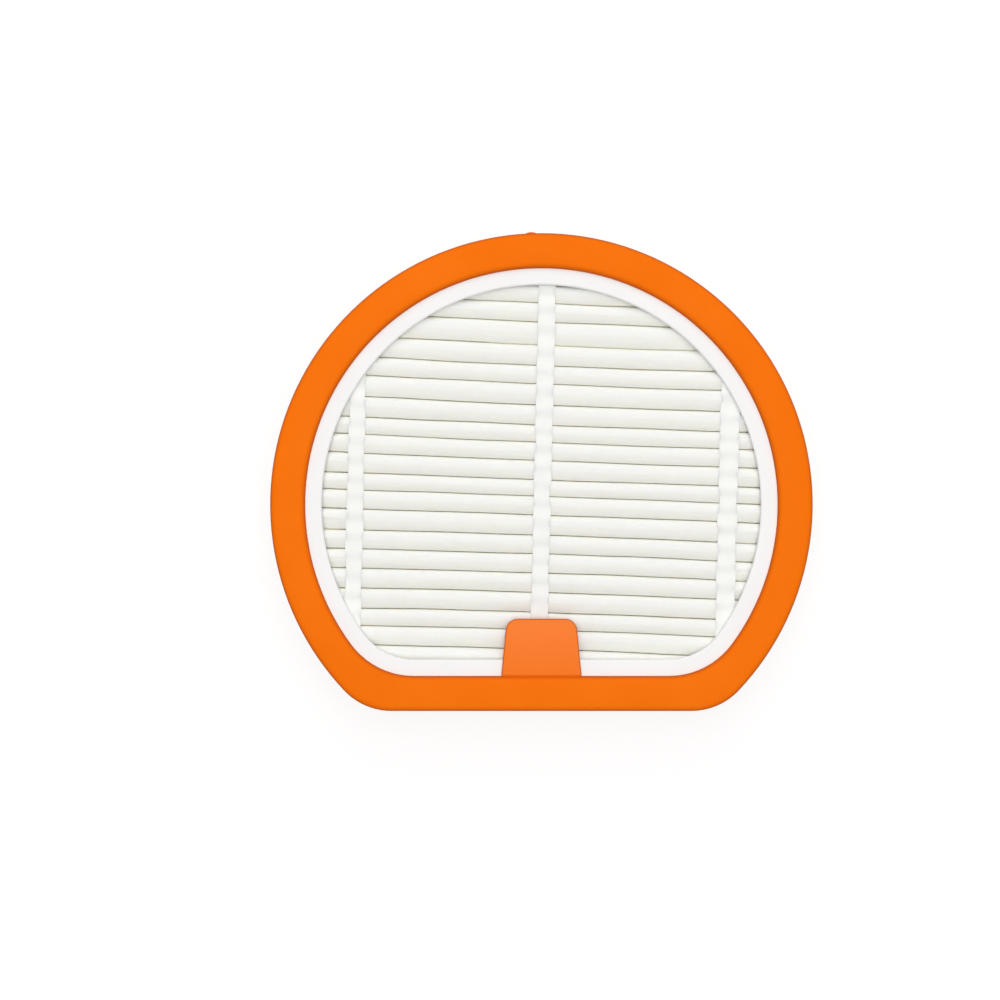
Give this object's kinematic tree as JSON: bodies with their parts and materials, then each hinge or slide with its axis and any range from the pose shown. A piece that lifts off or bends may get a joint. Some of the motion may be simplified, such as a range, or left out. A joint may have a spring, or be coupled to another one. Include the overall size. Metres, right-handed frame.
{
  "type": "pleated vacuum filter",
  "caption": "D-shaped pleated vacuum cleaner filter: folded white media in a plastic frame, edged by an orange rubber seal with a pull tab.",
  "frame": {"origin": "middle of the outline seen from the front, at the level of the frame's rear edge, on which the filter lies", "axes": "+Z out of the front face, +Y from the flat side with the pull tab to the round side, +X to the right seen from the front"},
  "size_m": [0.13, 0.115, 0.0238],
  "materials": {
    "seal_rubber": "matte",
    "frame_plastic": "satin",
    "filter_media": "matte",
    "hot_melt": "satin"
  },
  "bodies": {
    "root": {"seal": "seal_rubber", "frame": "frame_plastic", "pleated_media": "filter_media", "edge_glue": "hot_melt", "front_bead_left": "hot_melt", "front_bead_middle": "hot_melt", "front_bead_right": "hot_melt", "rear_bead_left": "hot_melt", "rear_bead_middle": "hot_melt", "rear_bead_right": "hot_melt"}
  },
  "joints": []
}
